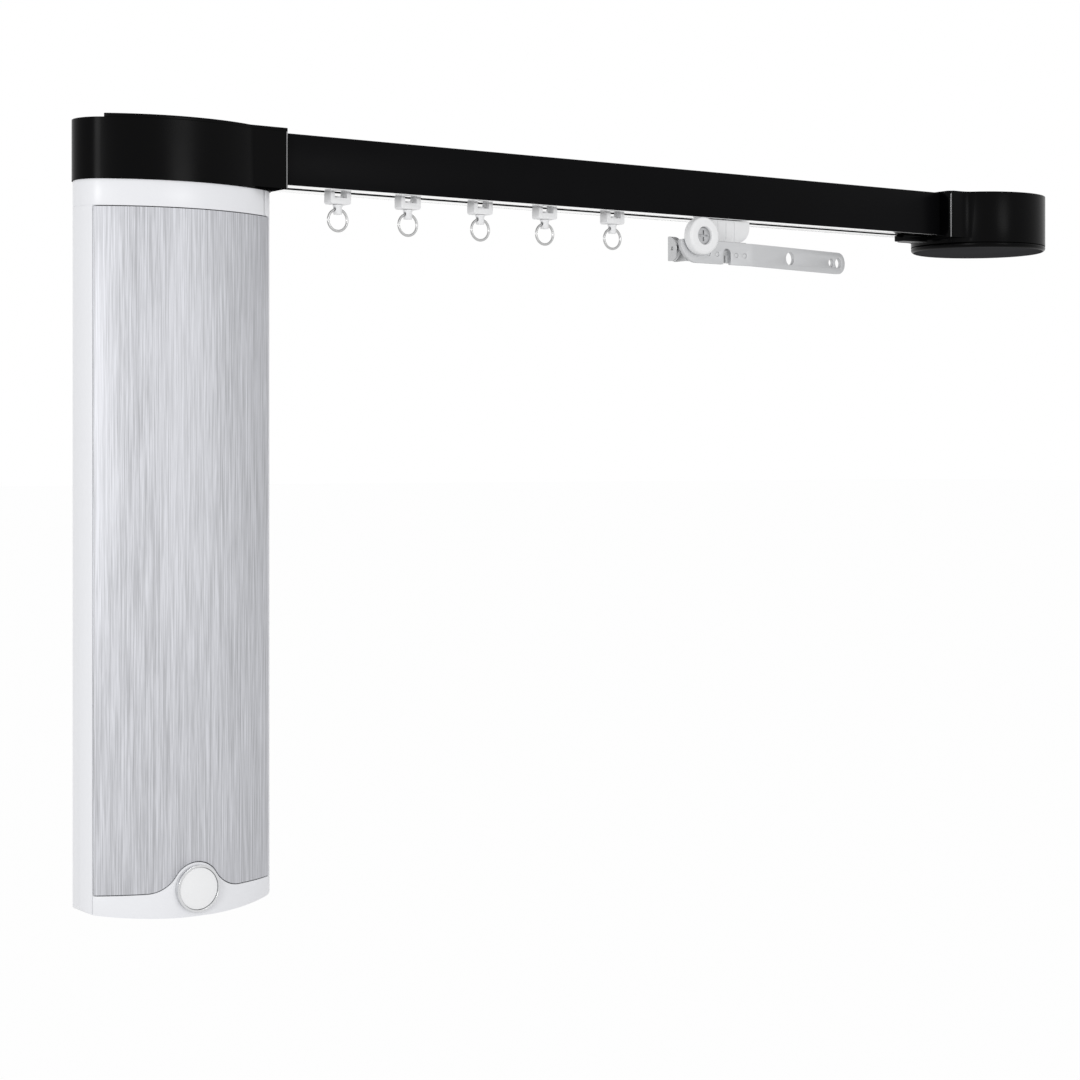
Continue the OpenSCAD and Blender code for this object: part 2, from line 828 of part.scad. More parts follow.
// Stop that locks in the slot and closes it at the idler
module end_stop() {
    left = idler_neck_x - stop_l;
    half = 3.2;
    thick = 2.8;
    inset = 2;
    key_low = track_low + track_t + seat;
    color(black) {
        span([left, -half, track_low - thick - seat], [idler_neck_x - seat, half, track_low - seat]);
        span([left + inset, -gate_half, track_low - seat], [idler_neck_x - inset, gate_half, key_low]);
        span([left + inset, -shoe_half, key_low], [idler_neck_x - inset, shoe_half, key_low + inset]);
    }
}

// Straight flanks that run from the idler's round body into its neck
module idler_flanks() {
    steps = 8;
    hollow_r = 8;
    flank_r = idler_r - 0.1;
    hollow_y = idler_neck_half + hollow_r;
    hollow_x = -sqrt(pow(flank_r + hollow_r, 2) - hollow_y * hollow_y);
    last = atan2(hollow_y, -hollow_x);
    hollow = [for (i = [0 : steps]) let (a = 90 + i / steps * (last - 90))
        [hollow_x + hollow_r * cos(a), -hollow_y + hollow_r * sin(a)]];
    mirrored = [for (i = [steps : -1 : 0]) [hollow[i][0], -hollow[i][1]]];
    polygon(concat([[-idler_neck, -idler_neck_half]], hollow, mirrored, [[-idler_neck, idler_neck_half]]));
}

module idler_housing() {
    color(black) translate([axis_span, 0, 0]) difference() {
        union() {
            rod(idler_r, idler_low, idler_top, $fn = 120);
            translate([0, 0, idler_neck_low]) linear_extrude(idler_top - idler_neck_low) idler_flanks();
        }
        rod(idler_r - idler_t, idler_low - cut, idler_top - idler_roof - idler_t);
        translate([0, 0, tension_z]) rod_x(tension_r + seat, 0, idler_r + cut);
        translate([0, 0, tension_z]) rod_x(2 * tension_r + seat, idler_r - tension_seat, idler_r + cut);
        span([-idler_neck - cut, -channel_half, track_low - seat], [0, channel_half, track_top + seat]);
        rod(channel_half, track_low - seat, track_top + seat);
    }
}

module idler_cover() {
    steps = 10;
    lip = 0.5;
    round_edge = [for (i = [0 : steps]) let (a = -90 + i / steps * 90)
        [idler_r - puck_soft + puck_soft * cos(a), puck_low + puck_edge + puck_edge * sin(a)]];
    color(black) translate([axis_span, 0, 0]) difference() {
        rotate_extrude($fn = 120)
            polygon(concat([[0, puck_low]], round_edge,
                [[idler_r, idler_low - lip], [idler_r - lip, idler_low], [0, idler_low]]));
        rod(idler_r - idler_t - puck_soft / 2, puck_low + cover_floor, idler_low + cut);
    }
}

module idler_pulley() {
    color("#4a4d52") translate([axis_span, 0, 0]) pulley(axle_r + run);
}

module idler_axle() {
    color(steel) translate([axis_span, 0, 0]) rod(axle_r, track_low, track_top + seat);
}

// Block on the cover's floor that carries the idler axle
module tension_block() {
    half = 9;
    color("#c8a35a") translate([axis_span, 0, 0]) difference() {
        union() {
            span([-half, -half, puck_low + cover_floor], [half, half, tension_z + tension_r + 1]);
            rod(axle_r + 2, tension_z, belt_low - flange_gap - flange_t - slide);
        }
        rod(axle_r, track_low, 0);
        translate([0, 0, tension_z]) rod_x(tension_r + run, tension_tip - seat, half + cut);
    }
}

module tension_screw() {
    color(steel) translate([axis_span, 0, tension_z]) difference() {
        union() {
            rod_x(tension_r, tension_tip, idler_r - 1.2);
            rod_x(2 * tension_r, idler_r - tension_seat, idler_r - 0.2);
        }
        translate([idler_r - 0.9, 0, 0]) rotate([0, 90, 0]) cylinder(r = 1.3, h = cut, $fn = 6);
    }
}

module glider_body(index) {
    half = glider_l / 2;
    gap = half - glider_plate;
    color(nylon) translate([glider_xs[index - 1], 0, 0]) difference() {
        union() {
            span([-half, -shoe_half, shoe_low], [half, shoe_half, shoe_low + shoe_h]);
            span([-half, -gate_half, track_low - slide], [half, gate_half, shoe_low]);
            translate([0, glider_w / 2, 0]) rotate([90, 0, 0]) linear_extrude(glider_w) glider_foot();
        }
        span([-gap, -shoe_half - cut, glider_low + bridge_h], [gap, shoe_half + cut, shoe_low]);
        rod(swivel_r + run, glider_low - cut, glider_low + bridge_h + cut);
    }
}

// Front outline of the glider's foot, with round lower corners
module glider_foot() {
    corner = 1;
    high = track_low - slide;
    translate([-glider_l / 2, glider_low + corner]) square([glider_l, high - glider_low - corner]);
    translate([-glider_l / 2 + corner, glider_low]) square([glider_l - 2 * corner, corner]);
    for (side = [-1, 1]) translate([side * (glider_l / 2 - corner), glider_low + corner]) circle(corner);
}

module eyelet(index) {
    flare = 0.25;
    flare_h = 0.6;
    clip = 0.6;
    clip_low = glider_low + bridge_h + seat;
    color(nylon) translate([glider_xs[index - 1], 0, 0]) difference() {
        union() {
            rod(eyelet_r, eyelet_low, eyelet_top);
            rod(eyelet_r + flare, eyelet_top - flare_h, eyelet_top);
            rod(swivel_r, eyelet_top, clip_low);
            rod(swivel_r + clip, clip_low, clip_low + clip);
        }
        translate([0, 0, eyelet_hole_z]) rod_x(eyelet_hole_r, -eyelet_r - cut, eyelet_r + cut);
    }
}

module ring(index) {
    color(metal) translate([glider_xs[index - 1], 0, ring_z]) rotate([90, 0, 0])
        rotate([0, 0, 180 + ring_gap / 2]) rotate_extrude(angle = 360 - ring_gap, $fn = 60)
        translate([ring_r, 0]) circle(wire_r, $fn = 24);
}

module carriage_body() {
    corner = 7;
    seam_w = 0.3;
    boss_rear = -carriage_half + boss_t;
    color(nylon) difference() {
        union() {
            span([carriage_left, -shoe_half, shoe_low], [carriage_right, shoe_half, shoe_low + shoe_h]);
            span([carriage_left, -gate_half, track_low - slide], [carriage_right, gate_half, shoe_low]);
            translate([0, carriage_rear, 0]) rotate([90, 0, 0])
                linear_extrude(carriage_half + carriage_rear) carriage_side(corner);
            translate([master_x, 0, disc_z]) rod_y(boss_r, -carriage_half, boss_rear);
            span([master_x, -carriage_half, disc_z - boss_r], [boss_right, boss_rear, disc_z + boss_r]);
        }
        for (x = seam_xs) span([x, -carriage_half - cut, carriage_low + 2 * seam_w],
            [x + seam_w, -carriage_half + seam_w, track_low - slide - 2 * seam_w]);
        translate([master_x, 0, disc_z]) rod_y(disc_thread_r + run, -carriage_half - cut, boss_rear + cut);
    }
}

// Front outline of the carriage, with a round lower right corner
module carriage_side(corner) {
    steps = 10;
    high = track_low - slide;
    round_corner = [for (i = [0 : steps]) let (a = -90 + i / steps * 90)
        [carriage_right - corner + corner * cos(a), carriage_low + corner + corner * sin(a)]];
    left_side = [[carriage_left, high], [carriage_left, carriage_low]];
    polygon(concat(left_side, round_corner, [[carriage_right, high]]));
}

// Clamp that stands on the carriage and holds the front run of the belt
module belt_clamp() {
    inner = -(pulley_r - belt_t / 2 - slide);
    outer = -(pulley_r + belt_t / 2 + slide);
    wall = -(track_w / 2 - track_t - slide);
    color(steel) difference() {
        span([clamp_x, wall, shoe_low + shoe_h], [clamp_x + clamp_l, inner + 2, belt_z + 1.5]);
        span([clamp_x - cut, outer, belt_low - slide], [clamp_x + clamp_l + cut, inner, belt_z + slide]);
    }
}

// Plan of the arm, from the bend: a straight root and a tail bent to the rear
module arm_plan() {
    root = arm_bend_at - arm_left;
    along = [cos(arm_bend), sin(arm_bend)];
    front = plate_t * [sin(arm_bend), -cos(arm_bend)];
    polygon([[-root, 0], [-root, -plate_t], [0, -plate_t], front, front + arm_tail * along,
        arm_tail * along, [0, 0]]);
}

// Cuts in the arm's root: a round lower left corner, an open slot, the rivet holes and room for the screw
module arm_root_cuts() {
    corner = 9.6;
    slot_r = arm_slot_w / 2;
    slot_h = arm_h - arm_slot_roof - slot_r;
    translate([arm_left, 0]) difference() {
        translate([-cut, -cut]) square(corner + cut);
        translate([corner, corner]) circle(corner);
    }
    translate([arm_slot_x, -cut]) square([arm_slot_w, slot_h + cut]);
    translate([arm_slot_x + slot_r, slot_h]) circle(slot_r);
    for (x = rivet_xs) translate([x, rivet_z - arm_low]) circle(rivet_r + run);
    translate([master_x, disc_z - arm_low]) circle(disc_screw_r + slide);
}

// Cuts in the arm's tail: the holes and the round tip
module arm_tail_cuts() {
    half = arm_h / 2;
    translate([hook_at, half]) circle(hook_r);
    translate([arm_tail - tie_back, half]) circle(0.8 * end_hook_r);
    translate([arm_tail - end_hook_back, half]) circle(end_hook_r);
    difference() {
        translate([arm_tail - half, -cut]) square([half + cut, arm_h + 2 * cut]);
        translate([arm_tail - half, half]) circle(half);
    }
}

module curtain_arm() {
    color(steel) difference() {
        translate([arm_bend_at, arm_rear, arm_low]) linear_extrude(arm_h) arm_plan();
        translate([0, arm_rear + cut, arm_low]) rotate([90, 0, 0])
            linear_extrude(plate_t + 2 * cut) arm_root_cuts();
        translate([arm_bend_at, arm_rear, arm_low]) rotate([0, 0, arm_bend]) translate([0, cut, 0])
            rotate([90, 0, 0]) linear_extrude(plate_t + 2 * cut) arm_tail_cuts();
    }
}

// Bracket under the carriage: a shelf, a front flange for the arm and an end flange for the bumper
module arm_bracket() {
    flange_rear = arm_rear + plate_t;
    flange_top = disc_z - disc_screw_r - slide;
    end_right = bracket_left + plate_t;
    shelf_left = boss_right + slide;
    slit_w = 0.6;
    slit_x = arm_slot_x + arm_slot_w / 2;
    color("#8f9296") difference() {
        union() {
            span([shelf_left, flange_rear - plate_t / 2, bracket_top - plate_t],
                [bracket_right, carriage_rear, bracket_top]);
            span([shelf_left, arm_rear, bracket_low],
                [bracket_right, flange_rear, bracket_top - plate_t / 2]);
            span([bracket_left, arm_rear, bracket_low], [shelf_left + cut, flange_rear, flange_top]);
            span([bracket_left, arm_rear, bracket_low], [end_right, bumper_flat, bracket_top]);
        }
        translate([0, bumper_shank_y, bumper_z])
            rod_x(bumper_shank_r + run, bracket_left - cut, end_right + cut);
        for (x = rivet_xs) translate([x, 0, rivet_z])
            rod_y(rivet_r + run, arm_rear - cut, flange_rear + cut);
        span([slit_x, arm_rear - cut, bracket_low - cut],
            [slit_x + slit_w, flange_rear + cut, arm_top - 2 * arm_slot_roof]);
    }
}

module guide_disc() {
    rear = arm_front - slide;
    edge = 1.4;
    color(nylon) translate([master_x, rear, disc_z]) rotate([90, 0, 0]) difference() {
        rotate_extrude($fn = 90) {
            square([disc_d / 2 - edge, disc_t]);
            square([disc_d / 2, disc_t - edge]);
            translate([disc_d / 2 - edge, disc_t - edge]) circle(edge);
        }
        translate([0, 0, -cut]) cylinder(r = disc_screw_r + run, h = disc_t + 2 * cut);
        translate([0, 0, disc_t - disc_seat]) cylinder(r = disc_head_r + slide, h = disc_seat + cut);
    }
}

// Shoulder screw with a cross recess
module disc_screw() {
    head_t = 1.5;
    head_rear = arm_front - slide - disc_t + disc_seat - seat;
    recess = [1.3 * disc_head_r, 1.6, 0.9];
    color(steel) translate([master_x, 0, disc_z]) difference() {
        union() {
            rod_y(disc_screw_r, head_rear, -carriage_half);
            rod_y(disc_thread_r, -carriage_half, -carriage_half + boss_t);
            rod_y(disc_head_r, head_rear - head_t, head_rear);
        }
        translate([0, head_rear - head_t, 0]) for (turn = [0, 90]) rotate([0, turn, 0])
            cube(recess, center = true);
    }
}

// Ribbed bumper on the bracket's end flange, half round and flat behind
module bumper_bolt() {
    left = bracket_left - bumper_l;
    groove_l = 0.6;
    groove_depth = 0.5;
    drill_r = 0.8;
    drill_l = 1;
    rib_l = (bumper_l - groove_l) / 2;
    color(metal) translate([0, 0, bumper_z]) difference() {
        union() {
            translate([0, bumper_y, 0]) rod_x(bumper_r - groove_depth, left, bracket_left);
            for (x = [left, bracket_left - rib_l]) translate([0, bumper_y, 0]) rod_x(bumper_r, x, x + rib_l);
            translate([0, bumper_shank_y, 0]) rod_x(bumper_shank_r, left + cut, bracket_left + plate_t);
        }
        span([left - cut, bumper_flat, -bumper_r - cut],
            [bracket_left + cut, bumper_r + cut, bumper_r + cut]);
        translate([0, bumper_shank_y, 0]) rod_x(drill_r, left - cut, left + drill_l);
    }
}

// Rivets set flush in the arm, headed behind the bracket
module arm_rivets() {
    head = 0.5;
    flange_rear = arm_rear + plate_t;
    color(metal) for (x = rivet_xs) translate([x, 0, rivet_z]) {
        rod_y(rivet_r, arm_front, flange_rear);
        rod_y(rivet_r + head, flange_rear, flange_rear + head);
    }
}

rear_shell();
front_cover();
collar();
bottom_cap();
badge_ring();
badge_disc();
chassis();
motor_can();
rotor();
ring_gear();
planet_gear(1);  // planet_gear_1
planet_gear(2);  // planet_gear_2
planet_gear(3);  // planet_gear_3
planet_carrier();
gearbox_lid();
circuit_board();
capacitor();
power_inlet();
data_socket();
program_button();
program_switch();
case_screws();
head_housing();
head_lid();
drive_pulley();
pulley_bearing();
head_screws();
track_profile();
drive_belt();
end_stop();
idler_housing();
idler_cover();
idler_pulley();
idler_axle();
tension_block();
tension_screw();
glider_body(1);  // glider_body_1
glider_body(2);  // glider_body_2
glider_body(3);  // glider_body_3
glider_body(4);  // glider_body_4
glider_body(5);  // glider_body_5
eyelet(1);  // eyelet_1
eyelet(2);  // eyelet_2
eyelet(3);  // eyelet_3
eyelet(4);  // eyelet_4
eyelet(5);  // eyelet_5
ring(1);  // ring_1
ring(2);  // ring_2
ring(3);  // ring_3
ring(4);  // ring_4
ring(5);  // ring_5
carriage_body();
belt_clamp();
curtain_arm();
arm_bracket();
guide_disc();
disc_screw();
bumper_bolt();
arm_rivets();
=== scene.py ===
# %% [markdown]
# # An electric curtain track
# A gear motor hangs under one end of a slotted black track. A belt inside the track pulls a white
# carrier with a steel arm, and five small gliders with rings carry the curtain's heading. The CAD
# model comes in as a fixed frame in metres. Here every surface that shows gets soft edges and a
# finish of its own.

# %% Load the frame
import json
import math

import bpy
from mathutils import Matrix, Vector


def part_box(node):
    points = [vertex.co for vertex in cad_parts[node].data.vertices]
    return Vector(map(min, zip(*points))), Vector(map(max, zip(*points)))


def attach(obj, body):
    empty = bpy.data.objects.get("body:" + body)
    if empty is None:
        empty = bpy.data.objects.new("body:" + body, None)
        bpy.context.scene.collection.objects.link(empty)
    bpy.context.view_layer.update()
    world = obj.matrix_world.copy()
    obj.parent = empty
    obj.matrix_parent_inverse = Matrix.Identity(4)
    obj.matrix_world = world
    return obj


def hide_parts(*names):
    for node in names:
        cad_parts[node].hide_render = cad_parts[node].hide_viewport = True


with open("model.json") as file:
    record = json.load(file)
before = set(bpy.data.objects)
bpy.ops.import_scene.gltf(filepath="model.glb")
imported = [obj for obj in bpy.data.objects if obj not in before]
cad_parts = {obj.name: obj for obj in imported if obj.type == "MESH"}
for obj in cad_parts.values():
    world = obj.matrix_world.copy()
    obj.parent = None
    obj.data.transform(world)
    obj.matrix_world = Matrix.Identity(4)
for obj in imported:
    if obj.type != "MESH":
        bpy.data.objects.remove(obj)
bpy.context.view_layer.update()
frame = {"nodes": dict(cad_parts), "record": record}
print("CAD nodes:", len(frame["nodes"]))

# %% [markdown]
# ## The camera
# The photograph is taken level, from the left of the track and a little below its middle. A long lens
# would flatten it, and a wide one would make the motor loom. The track's edges run together at a rate
# that fits a lens of about 78 mm. The camera stays level and its film is shifted down, as a product
# photographer does, so that upright edges stay upright.

# %% Place the camera
PHOTO_SIDE = 1080
FOCAL_PIXELS = 2328.88
HORIZON_ROW = 455.98
CAMERA_PLACE = (-0.39999, -0.80537, -0.12677)
CAMERA_TURN = math.radians(-35.365)
FILM_WIDTH = 36

camera_data = bpy.data.cameras.new("photo_camera")
camera_data.sensor_width = FILM_WIDTH
camera_data.sensor_fit = "HORIZONTAL"
camera_data.lens = FOCAL_PIXELS / PHOTO_SIDE * FILM_WIDTH
camera_data.shift_y = (HORIZON_ROW - PHOTO_SIDE / 2) / PHOTO_SIDE
camera = bpy.data.objects.new("photo_camera", camera_data)
camera.location = CAMERA_PLACE
camera.rotation_euler = (math.radians(90), 0, CAMERA_TURN)
bpy.context.scene.collection.objects.link(camera)
bpy.context.scene.camera = camera
print("lens", round(camera_data.lens, 2), "shift", round(camera_data.shift_y, 4))

# %% [markdown]
# ## The studio
# A white cyclorama surrounds the object. The world is white where the camera or a reflection looks at
# it, and dimmer as a light, so that white plastic keeps its shading. Two square lamps draw upright bands
# on satin black: a strong one at the left for the round ends, and a weak one for the head's front.

# %% Light the studio
SKY_STRENGTH = 0.70
BACKDROP_STRENGTH = 1.0
WHITE = (1, 1, 1, 1)
LAMP_AIM = (0.0, 0.0, -0.12)

world = bpy.data.worlds.new("studio")
bpy.context.scene.world = world
world.use_nodes = True
world_nodes = world.node_tree.nodes
world_links = world.node_tree.links
world_nodes.clear()
world_out = world_nodes.new("ShaderNodeOutputWorld")
sky = world_nodes.new("ShaderNodeBackground")
sky.inputs["Color"].default_value = WHITE
sky.inputs["Strength"].default_value = SKY_STRENGTH
backdrop = world_nodes.new("ShaderNodeBackground")
backdrop.inputs["Color"].default_value = WHITE
backdrop.inputs["Strength"].default_value = BACKDROP_STRENGTH
world_mix = world_nodes.new("ShaderNodeMixShader")


def seen_rays(nodes, links):
    path = nodes.new("ShaderNodeLightPath")
    first = nodes.new("ShaderNodeMath")
    first.operation = "MAXIMUM"
    links.new(path.outputs["Is Camera Ray"], first.inputs[0])
    links.new(path.outputs["Is Glossy Ray"], first.inputs[1])
    second = nodes.new("ShaderNodeMath")
    second.operation = "MAXIMUM"
    links.new(first.outputs[0], second.inputs[0])
    links.new(path.outputs["Is Transmission Ray"], second.inputs[1])
    return second


world_links.new(seen_rays(world_nodes, world_links).outputs[0], world_mix.inputs[0])
world_links.new(sky.outputs[0], world_mix.inputs[1])
world_links.new(backdrop.outputs[0], world_mix.inputs[2])
world_links.new(world_mix.outputs[0], world_out.inputs[0])
bpy.context.scene.view_settings.view_transform = "Standard"


def soft_lamp(name, place, side, watts):
    lamp = bpy.data.lights.new(name, "AREA")
    lamp.size = side
    lamp.energy = watts
    holder = bpy.data.objects.new(name, lamp)
    holder.location = place
    run = [a - p for a, p in zip(LAMP_AIM, place)]
    flat = math.hypot(run[0], run[1])
    holder.rotation_euler = (math.atan2(flat, -run[2]), 0, math.atan2(-run[0], run[1]))
    bpy.context.scene.collection.objects.link(holder)
    print("lamp", name, watts, "W")


soft_lamp("side_lamp", (-1.10, -0.86, 0.10), side=0.44, watts=4.6)
soft_lamp("front_lamp", (0.36, -1.35, 0.08), side=0.36, watts=1.9)

# %% Lay the floor
FLOOR_PLACE = (0.2, 0, -0.75)
FLOOR_SIDE = 90
FLOOR_COLOUR = (0.9, 0.9, 0.9, 1)
FLOOR_ROUGHNESS = 0.9
FLOOR_GLOW_SHARE = 0.97

bpy.ops.object.select_all(action="DESELECT")
bpy.ops.mesh.primitive_plane_add(size=FLOOR_SIDE, location=FLOOR_PLACE)
floor = bpy.context.object
floor.name = "studio_floor"
floor_paint = bpy.data.materials.new("floor_paint")
floor_paint.use_nodes = True
floor_nodes = floor_paint.node_tree.nodes
floor_links = floor_paint.node_tree.links
floor_surface = floor_nodes["Principled BSDF"]
floor_surface.inputs["Base Color"].default_value = FLOOR_COLOUR
floor_surface.inputs["Roughness"].default_value = FLOOR_ROUGHNESS
floor_glow = floor_nodes.new("ShaderNodeEmission")
floor_share = floor_nodes.new("ShaderNodeMath")
floor_share.operation = "MULTIPLY"
floor_share.inputs[1].default_value = FLOOR_GLOW_SHARE
floor_mix = floor_nodes.new("ShaderNodeMixShader")
floor_links.new(seen_rays(floor_nodes, floor_links).outputs[0], floor_share.inputs[0])
floor_links.new(floor_share.outputs[0], floor_mix.inputs[0])
floor_links.new(floor_surface.outputs[0], floor_mix.inputs[1])
floor_links.new(floor_glow.outputs[0], floor_mix.inputs[2])
floor_links.new(floor_mix.outputs[0], floor_nodes["Material Output"].inputs[0])
floor.data.materials.append(floor_paint)

# %% [markdown]
# ## Shared effects
# Moulded plastic isn't perfectly smooth: the mould leaves a fine grain, and hands leave cloudy patches
# that are a little glossier. Brushed metal carries fine scratches in one direction. Both show up on
# many pieces, so each is one node group with named inputs, and each material gives it its own values.

# %% Build the grain group
FINE_DETAIL = 2
CLOUD_DETAIL = 3


def group_socket(group, name, direction, kind, value=None):
    made = group.interface.new_socket(name=name, in_out=direction, socket_type=kind)
    if value is not None:
        made.default_value = value


def build_grain_group():
    group = bpy.data.node_groups.new("moulded_grain", "ShaderNodeTree")
    group_socket(group, "Fine Scale", "INPUT", "NodeSocketFloat", 2500.0)
    group_socket(group, "Cloud Scale", "INPUT", "NodeSocketFloat", 30.0)
    group_socket(group, "Height", "OUTPUT", "NodeSocketFloat")
    group_socket(group, "Clouds", "OUTPUT", "NodeSocketFloat")
    nodes = group.nodes
    links = group.links
    start = nodes.new("NodeGroupInput")
    end = nodes.new("NodeGroupOutput")
    place = nodes.new("ShaderNodeTexCoord")
    fine = nodes.new("ShaderNodeTexNoise")
    fine.inputs["Detail"].default_value = FINE_DETAIL
    cloud = nodes.new("ShaderNodeTexNoise")
    cloud.inputs["Detail"].default_value = CLOUD_DETAIL
    for noise, socket in ((fine, "Fine Scale"), (cloud, "Cloud Scale")):
        links.new(place.outputs["Object"], noise.inputs["Vector"])
        links.new(start.outputs[socket], noise.inputs["Scale"])
    links.new(fine.outputs["Fac"], end.inputs["Height"])
    links.new(cloud.outputs["Fac"], end.inputs["Clouds"])
    return group


grain_group = build_grain_group()
print("group", grain_group.name, len(grain_group.nodes), "nodes")

# %% Build the brushed group
LINE_DETAIL = 3
LINE_ROUGHNESS = 0.7
BAND_DETAIL = 2
BAND_FINENESS = 0.5


def build_brushed_group():
    group = bpy.data.node_groups.new("brushed_lines", "ShaderNodeTree")
    group_socket(group, "Stretch", "INPUT", "NodeSocketVector", (1.0, 1.0, 0.01))
    group_socket(group, "Fineness", "INPUT", "NodeSocketFloat", 4000.0)
    group_socket(group, "Lines", "OUTPUT", "NodeSocketFloat")
    group_socket(group, "Bands", "OUTPUT", "NodeSocketFloat")
    nodes = group.nodes
    links = group.links
    start = nodes.new("NodeGroupInput")
    end = nodes.new("NodeGroupOutput")
    place = nodes.new("ShaderNodeTexCoord")
    stretch = nodes.new("ShaderNodeVectorMath")
    stretch.operation = "MULTIPLY"
    links.new(place.outputs["Object"], stretch.inputs[0])
    links.new(start.outputs["Stretch"], stretch.inputs[1])
    lines = nodes.new("ShaderNodeTexNoise")
    lines.inputs["Detail"].default_value = LINE_DETAIL
    lines.inputs["Roughness"].default_value = LINE_ROUGHNESS
    links.new(stretch.outputs[0], lines.inputs["Vector"])
    links.new(start.outputs["Fineness"], lines.inputs["Scale"])
    coarse = nodes.new("ShaderNodeMath")
    coarse.operation = "MULTIPLY"
    coarse.inputs[1].default_value = BAND_FINENESS
    links.new(start.outputs["Fineness"], coarse.inputs[0])
    bands = nodes.new("ShaderNodeTexNoise")
    bands.inputs["Detail"].default_value = BAND_DETAIL
    links.new(stretch.outputs[0], bands.inputs["Vector"])
    links.new(coarse.outputs[0], bands.inputs["Scale"])
    links.new(lines.outputs["Fac"], end.inputs["Lines"])
    links.new(bands.outputs["Fac"], end.inputs["Bands"])
    return group


brushed_group = build_brushed_group()
print("group", brushed_group.name, len(brushed_group.nodes), "nodes")

# %% [markdown]
# ## Two recipes for materials
# Nearly everything here is moulded plastic or worked metal. A moulded finish takes its colour nearly
# plain, with grain in the bump and clouds in the roughness. A worked metal takes its lines into the
# colour, the roughness and the bump. Gloss and coat are the same all over, so they are written straight
# on the shader.

# %% Write the moulded recipe
NOISE_LOW = 0.3
NOISE_HIGH = 0.7
COAT_ROUGHNESS = 0.12
GRAIN_DEPTH = 0.0001
finishes = {}


def ramp_between(nodes, links, source, low, high):
    ramp = nodes.new("ShaderNodeMapRange")
    ramp.inputs["From Min"].default_value = NOISE_LOW
    ramp.inputs["From Max"].default_value = NOISE_HIGH
    ramp.inputs["To Min"].default_value = low
    ramp.inputs["To Max"].default_value = high
    ramp.interpolation_type = "SMOOTHSTEP"
    links.new(source, ramp.inputs["Value"])
    return ramp.outputs["Result"]


def tint(nodes, links, fraction, dark, light):
    mix = nodes.new("ShaderNodeMix")
    mix.data_type = "RGBA"
    mix.inputs["A"].default_value = (*dark, 1)
    mix.inputs["B"].default_value = (*light, 1)
    links.new(fraction, mix.inputs["Factor"])
    return mix.outputs["Result"]


def bump(nodes, links, height, strength, distance, surface):
    relief = nodes.new("ShaderNodeBump")
    relief.inputs["Strength"].default_value = strength
    relief.inputs["Distance"].default_value = distance
    links.new(height, relief.inputs["Height"])
    links.new(relief.outputs["Normal"], surface.inputs["Normal"])


def start_material(slot):
    material = bpy.data.materials.new(slot + "_finish")
    material.use_nodes = True
    finishes[slot] = material
    tree = material.node_tree
    return tree.nodes, tree.links, tree.nodes["Principled BSDF"]


def moulded(slot, colour, shade, rough, grain=2500.0, relief=0.15, coat=0.0, shine=0.5):
    nodes, links, surface = start_material(slot)
    grains = nodes.new("ShaderNodeGroup")
    grains.node_tree = grain_group
    grains.inputs["Fine Scale"].default_value = grain
    clouds = grains.outputs["Clouds"]
    dark = tuple(c * shade for c in colour)
    links.new(tint(nodes, links, clouds, dark, colour), surface.inputs["Base Color"])
    links.new(ramp_between(nodes, links, clouds, *rough), surface.inputs["Roughness"])
    surface.inputs["Specular IOR Level"].default_value = shine
    surface.inputs["Coat Weight"].default_value = coat
    surface.inputs["Coat Roughness"].default_value = COAT_ROUGHNESS
    bump(nodes, links, grains.outputs["Height"], relief, GRAIN_DEPTH, surface)


moulded("white_shell", (0.85, 0.857, 0.886), 0.985, (0.30, 0.33))
moulded("badge_gloss", (0.90, 0.905, 0.915), 0.96, (0.10, 0.16), relief=0.03, coat=0.6)
moulded("gear_nylon", (0.80, 0.75, 0.60), 0.9, (0.45, 0.6))
moulded("board", (0.02, 0.10, 0.04), 0.7, (0.3, 0.45), grain=900.0)
moulded("capacitor_sleeve", (0.02, 0.022, 0.03), 0.8, (0.2, 0.3))
moulded("socket_plastic", (0.018, 0.018, 0.02), 0.8, (0.4, 0.55))
moulded("button_plastic", (0.12, 0.125, 0.135), 0.85, (0.4, 0.55))
moulded("black_shell", (0.0012, 0.0012, 0.0014), 0.8, (0.22, 0.28),
        grain=3500.0, relief=0.04, shine=0.055)
moulded("black_matte", (0.003, 0.003, 0.0034), 0.8, (0.5, 0.6), grain=3500.0, shine=0.0)
moulded("black_track", (0.0038, 0.0038, 0.0043), 0.7, (0.30, 0.38),
        grain=1800.0, relief=0.04, shine=0.03)
# Painted reflection: a lighter grey with no shine stands in for the floor's reflection on the cover's
# underside.
moulded("puck_painted_reflection", (0.052, 0.052, 0.055), 0.7, (0.4, 0.5), grain=3500.0, shine=0.0)
moulded("belt_rubber", (0.012, 0.012, 0.012), 0.8, (0.6, 0.75))
moulded("nylon", (0.90, 0.903, 0.912), 0.96, (0.36, 0.5), relief=0.2)
print("moulded finishes:", len(finishes))

# %% Write the worked metal recipe
LINE_SHARE = 0.9
BAND_SHARE = 0.1
SCRATCH_DEPTH = 0.00005
ALONG_X = (0.01, 1.0, 1.0)
ALONG_Z = (1.0, 1.0, 0.016)
EVEN = (1.0, 1.0, 1.0)
LAYERED_Z = (1.0, 1.0, 6.0)


